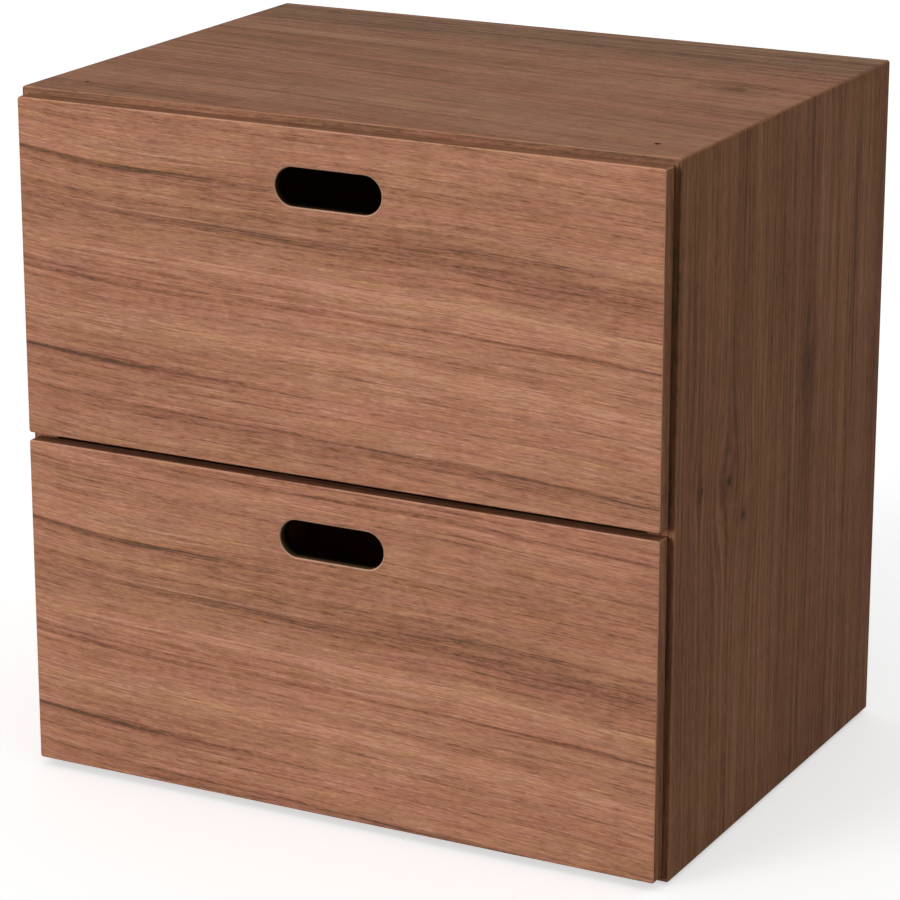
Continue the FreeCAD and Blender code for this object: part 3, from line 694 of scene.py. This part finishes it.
def dressBoxes():
    for level, drawerStep in drawerSteps.items():
        for board, boardStep in boardSteps.items():
            run = "frontToBack" if board.endswith("side") else "leftToRight"
            look = reseeded(boxLook, drawerStep + boardStep)
            dressWood(level + "_" + board, level + plainName(board), run, look)
        dressWood(level + "_drawer_bottom", level + "BottomPly", "lying", reseeded(plyLook, drawerStep))


def dressStrips():
    for kind, look in (("runner", runnerLook), ("spline", tongueLook)):
        for row, rowStep in rowSteps[kind].items():
            for hand, handStep in handSteps.items():
                node = row + "_" + hand + "_" + kind
                dressWood(node, plainName(node), "frontToBack", reseeded(look, rowStep + handStep))


dressBoxes()
dressStrips()
print("bare wood: drawer boxes, bottoms, runners and tongues")


# Screws and glides

# cloud, brush and grain: length and width of one speck, detail and seed; bump: strength and depth
steelLook = {
    "pale": paint(214, 211, 202), "dull": paint(168, 164, 152), "toneSteps": (-0.2, 0.25),
    "cloud": (1.6 * mm, 1.6 * mm, 3.0, 7.0), "brush": (0.25 * mm, 0.25 * mm, 2.0, 9.0),
    "brushShare": 0.4, "roughness": 0.34, "cloudRoughness": 0.3, "bump": (0.2, 0.02 * mm),
}
plasticLook = {
    "brown": paint(66, 47, 36), "dark": paint(48, 34, 26), "toneSteps": (-0.2, 0.2),
    "cloud": (5 * mm, 5 * mm, 2.0, 3.0), "grain": (0.3 * mm, 0.3 * mm, 1.0, 5.0),
    "roughness": 0.48, "grainRoughness": 0.25, "bump": (0.3, 0.05 * mm),
}


def zincSteel():
    material, tree, shader = newMaterial("zincSteel")
    place = addNode(tree, "TexCoord").outputs["Object"]
    cloud = grainNoise(tree, place, *steelLook["cloud"])
    brush = grainNoise(tree, place, *steelLook["brush"])
    both = total(tree, cloud, scaled(tree, brush, steelLook["brushShare"]))
    tone = steps(tree, both, *steelLook["toneSteps"])
    feed(tree, shader.inputs["Base Color"], mixColour(tree, tone, steelLook["pale"], steelLook["dull"]))
    rough = added(tree, steelLook["roughness"], cloud, steelLook["cloudRoughness"])
    feed(tree, shader.inputs["Roughness"], rough)
    shader.inputs["Metallic"].default_value = 1.0
    addBump(tree, shader, brush, *steelLook["bump"])
    return material


def glidePlastic():
    material, tree, shader = newMaterial("glidePlastic")
    place = addNode(tree, "TexCoord").outputs["Object"]
    cloud = grainNoise(tree, place, *plasticLook["cloud"])
    grain = grainNoise(tree, place, *plasticLook["grain"])
    tone = steps(tree, cloud, *plasticLook["toneSteps"])
    colour = mixColour(tree, tone, plasticLook["brown"], plasticLook["dark"])
    feed(tree, shader.inputs["Base Color"], colour)
    rough = added(tree, plasticLook["roughness"], grain, plasticLook["grainRoughness"])
    feed(tree, shader.inputs["Roughness"], rough)
    addBump(tree, shader, grain, *plasticLook["bump"])
    return material


# sizes of the two screws; the shank starts under the head, and the head looks along +Z
panScrew = {
    "head": 7.5 * mm, "rise": 2.2 * mm, "crown": 1.1 * mm, "shank": 3.5 * mm, "length": 18 * mm,
    "crossLength": 4.4 * mm, "crossWidth": 1.0 * mm, "crossDepth": 1.5 * mm, "point": 1.2 * mm,
}
sunkScrew = {
    "head": 7 * mm, "rise": 1.75 * mm, "crown": 0.0, "shank": 3.5 * mm, "length": 16.25 * mm,
    "crossLength": 4.0 * mm, "crossWidth": 0.9 * mm, "crossDepth": 1.3 * mm, "point": 1.2 * mm,
}
screwShape = {
    "sides": 32, "crownSteps": 5, "smoothAngle": 35, "crossTaper": (0.45, 0.7, 1.0),
    "flat": 0.9,  # faces whose normal is steeper than this count as looking up or down
    "firstTurn": 23, "nextTurn": 41,  # degrees by which the screws of a row are turned
}


def looksUp(face):
    return face.normal.z > screwShape["flat"]


def looksDown(face):
    return face.normal.z < -screwShape["flat"]


def selectOnly(piece=None):
    bpy.ops.object.select_all(action="DESELECT")
    if piece:
        piece.select_set(True)
        bpy.context.view_layer.objects.active = piece


def editFaces(piece, wanted):
    # goes into edit mode with only the wanted faces selected
    bpy.context.view_layer.objects.active = piece
    bpy.ops.object.mode_set(mode="EDIT")
    bpy.ops.mesh.select_mode(type="FACE")
    bpy.ops.mesh.select_all(action="DESELECT")
    shape = bmesh.from_edit_mesh(piece.data)
    for face in shape.faces:
        face.select_set(wanted(face))
    bmesh.update_edit_mesh(piece.data)


def leaveEdit():
    bpy.ops.object.mode_set(mode="OBJECT")


def crossBar(screw, turn):
    # one bar of the cross recess, narrower at its floor
    selectOnly()
    bpy.ops.mesh.primitive_cube_add(size=1.0, location=(0, 0, 0))
    bar = bpy.context.object
    deep = screw["crossDepth"]
    bar.data.transform(Matrix.Diagonal((screw["crossLength"], screw["crossWidth"], 2 * deep, 1.0)))
    editFaces(bar, looksDown)
    bpy.ops.transform.resize(value=screwShape["crossTaper"])
    leaveEdit()
    bar.data.transform(Matrix.Rotation(turn, 4, "Z"))
    bar.data.transform(Matrix.Translation((0, 0, screw["rise"])))
    return bar


def modelScrew(name, screw):
    selectOnly()
    bpy.ops.mesh.primitive_cylinder_add(vertices=screwShape["sides"], radius=screw["shank"] / 2,
                                        depth=screw["length"], location=(0, 0, 0))
    piece = bpy.context.object
    piece.name = name
    middle = -screw["length"] / 2
    piece.data.transform(Matrix.Translation((0, 0, middle)))
    spread = screw["head"] / screw["shank"]
    raised = {"value": (0, 0, screw["rise"])}
    editFaces(piece, looksUp)
    if screw["crown"]:  # flat underside, upright rim, crowned top
        bpy.ops.mesh.extrude_region_move()
        bpy.ops.transform.resize(value=(spread, spread, 1.0))
        bpy.ops.mesh.extrude_region_move(TRANSFORM_OT_translate=raised)
        bpy.ops.mesh.bevel(offset=screw["crown"], segments=screwShape["crownSteps"], profile=0.5)
    else:  # a cone that ends flush with the wood
        bpy.ops.mesh.extrude_region_move(TRANSFORM_OT_translate=raised)
        bpy.ops.transform.resize(value=(spread, spread, 1.0))
    leaveEdit()
    editFaces(piece, lambda face: looksDown(face) and face.calc_center_median().z < middle)
    bpy.ops.mesh.bevel(offset=screw["point"], segments=1)
    leaveEdit()
    for turn in (0.0, math.pi / 2):
        bar = crossBar(screw, turn)
        cut = piece.modifiers.new("crossRecess", "BOOLEAN")
        cut.operation = "DIFFERENCE"
        cut.object = bar
        bpy.context.view_layer.objects.active = piece
        bpy.ops.object.modifier_apply(modifier=cut.name)
        bpy.data.objects.remove(bar)
    selectOnly(piece)
    bpy.ops.object.shade_smooth_by_angle(angle=math.radians(screwShape["smoothAngle"]))
    return piece


def setScrews(node, body, model, look, places, heads):
    # copies of one screw at its places, each turned a little differently about its own axis
    for index, spot in enumerate(places):
        piece = bpy.data.objects.new(node + "_" + str(index + 1), model.data.copy())
        bpy.context.scene.collection.objects.link(piece)
        turn = screwShape["firstTurn"] + screwShape["nextTurn"] * index
        spin = Matrix.Rotation(math.radians(turn), 4, "Z")
        stand = heads.to_track_quat("Z", "Y").to_matrix().to_4x4()
        piece.data.transform(Matrix.Translation(spot) @ stand @ spin)
        piece.data.materials.clear()
        piece.data.materials.append(look)
        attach(piece, body)
        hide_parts(node)


def placeFrontScrews(look):
    model = modelScrew("panScrewModel", panScrew)
    half = panScrew["head"] / 2
    for level in ("upper", "lower"):
        low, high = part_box(level + "_front_screws")
        seat = high.y - panScrew["rise"]
        places = [Vector((x, seat, z)) for x in (low.x + half, high.x - half)
                  for z in (low.z + half, high.z - half)]
        setScrews(level + "_front_screws", level + "_drawer", model, look, places, Vector((0, 1, 0)))
    bpy.data.objects.remove(model)


def placeRunnerScrews(look):
    model = modelScrew("sunkScrewModel", sunkScrew)
    half = sunkScrew["head"] / 2
    for hand, inward in (("left", 1.0), ("right", -1.0)):
        low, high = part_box(hand + "_runner_screws")
        seat = (high.x if inward > 0 else low.x) - inward * sunkScrew["rise"]
        places = [Vector((seat, y, z)) for y in (low.y + half, high.y - half)
                  for z in (low.z + half, high.z - half)]
        setScrews(hand + "_runner_screws", "carcass", model, look, places, Vector((inward, 0, 0)))
    bpy.data.objects.remove(model)


screwSteel = zincSteel()
placeFrontScrews(screwSteel)
placeRunnerScrews(screwSteel)
dress("floor_glides", glidePlastic())
print("fixings: screws and glides")


# Floor, light and camera

studio = {
    "floorSize": 60.0, "floorWhite": 0.8, "floorGrey": 0.35, "floorGlow": 0.54,
    # the backdrop that is seen, low down and higher up
    "horizon": 1.0, "haze": 0.26, "hazeRise": (0.06, 0.18),
    # the light from the sides and from the softbox overhead
    "skyLow": 0.06, "skyHigh": 0.67, "skyRise": (0.4, 0.6),
    "key": {"from": (-0.5, -0.86, 0.13), "strength": 2.75, "angle": 30.0},
}


def seenRays(tree):
    # 1 for rays from the eye and for mirrored or clear ones, 0 for rays that only carry light
    path = addNode(tree, "LightPath").outputs
    seen = calc(tree, "MAXIMUM", path["Is Camera Ray"], path["Is Glossy Ray"])
    return calc(tree, "MAXIMUM", seen, path["Is Transmission Ray"])


def makeFloor():
    selectOnly()
    bpy.ops.mesh.primitive_plane_add(size=studio["floorSize"], location=(0, 0, 0))
    floor = bpy.context.object
    floor.name = "floor"
    material, tree, shader = newMaterial("paleFloor")
    tree.nodes.remove(shader)
    # the eye sees a white floor with the chest's shadow; the chest is lit by a grey one
    white, dull = (addNode(tree, "BsdfDiffuse", {"Color": (*grey(studio[tone]), 1.0)}).outputs[0]
                   for tone in ("floorWhite", "floorGrey"))
    glow = addNode(tree, "Emission", {"Strength": studio["floorGlow"]}).outputs[0]
    bright = addNode(tree, "AddShader", {0: white, 1: glow}).outputs[0]
    mixed = addNode(tree, "MixShader", {0: seenRays(tree), 1: dull, 2: bright})
    feed(tree, tree.nodes["Material Output"].inputs["Surface"], mixed.outputs[0])
    floor.data.materials.append(material)


def makeWorld():
    world = bpy.data.worlds.new("studioWorld")
    bpy.context.scene.world = world
    world.use_nodes = True
    tree = world.node_tree
    rise = splitAxes(tree, "Generated")["Z"]
    backdrop = steps(tree, rise, *studio["hazeRise"], studio["horizon"], studio["haze"])
    softbox = steps(tree, rise, *studio["skyRise"], studio["skyLow"], studio["skyHigh"])
    strength = between(tree, seenRays(tree), softbox, backdrop)
    feed(tree, tree.nodes["Background"].inputs["Strength"], strength)
    tree.nodes["Background"].inputs["Color"].default_value = (1.0, 1.0, 1.0, 1.0)


def makeSun(name, setting):
    lamp = bpy.data.lights.new(name, "SUN")
    lamp.energy = setting["strength"]
    lamp.angle = math.radians(setting["angle"])
    sun = bpy.data.objects.new(name, lamp)
    bpy.context.scene.collection.objects.link(sun)
    sun.rotation_euler = Vector(setting["from"]).to_track_quat("Z", "Y").to_euler()


photoView = {
    "azimuth": 27.58, "elevation": 17.23, "distance": 1.9274,
    "aim": (-0.0016, -0.0072, 0.1670),
    "lens": 144.0, "sensor": 36.0, "farthest": 200.0,
}


def makeCamera():
    camera = bpy.data.cameras.new("photoCamera")
    camera.lens = photoView["lens"]
    camera.sensor_width = photoView["sensor"]
    camera.clip_end = photoView["farthest"]
    turn = math.radians(photoView["azimuth"])
    rise = math.radians(photoView["elevation"])
    back = Vector((math.sin(turn) * math.cos(rise), -math.cos(turn) * math.cos(rise), math.sin(rise)))
    stand = bpy.data.objects.new("photoCamera", camera)
    bpy.context.scene.collection.objects.link(stand)
    stand.location = Vector(photoView["aim"]) + back * photoView["distance"]
    stand.rotation_euler = back.to_track_quat("Z", "Y").to_euler()
    bpy.context.scene.camera = stand


makeFloor()
makeWorld()
makeSun("keyLight", studio["key"])
makeCamera()
bpy.context.scene.view_settings.view_transform = "Standard"
print("stage: floor, world, lights and camera")
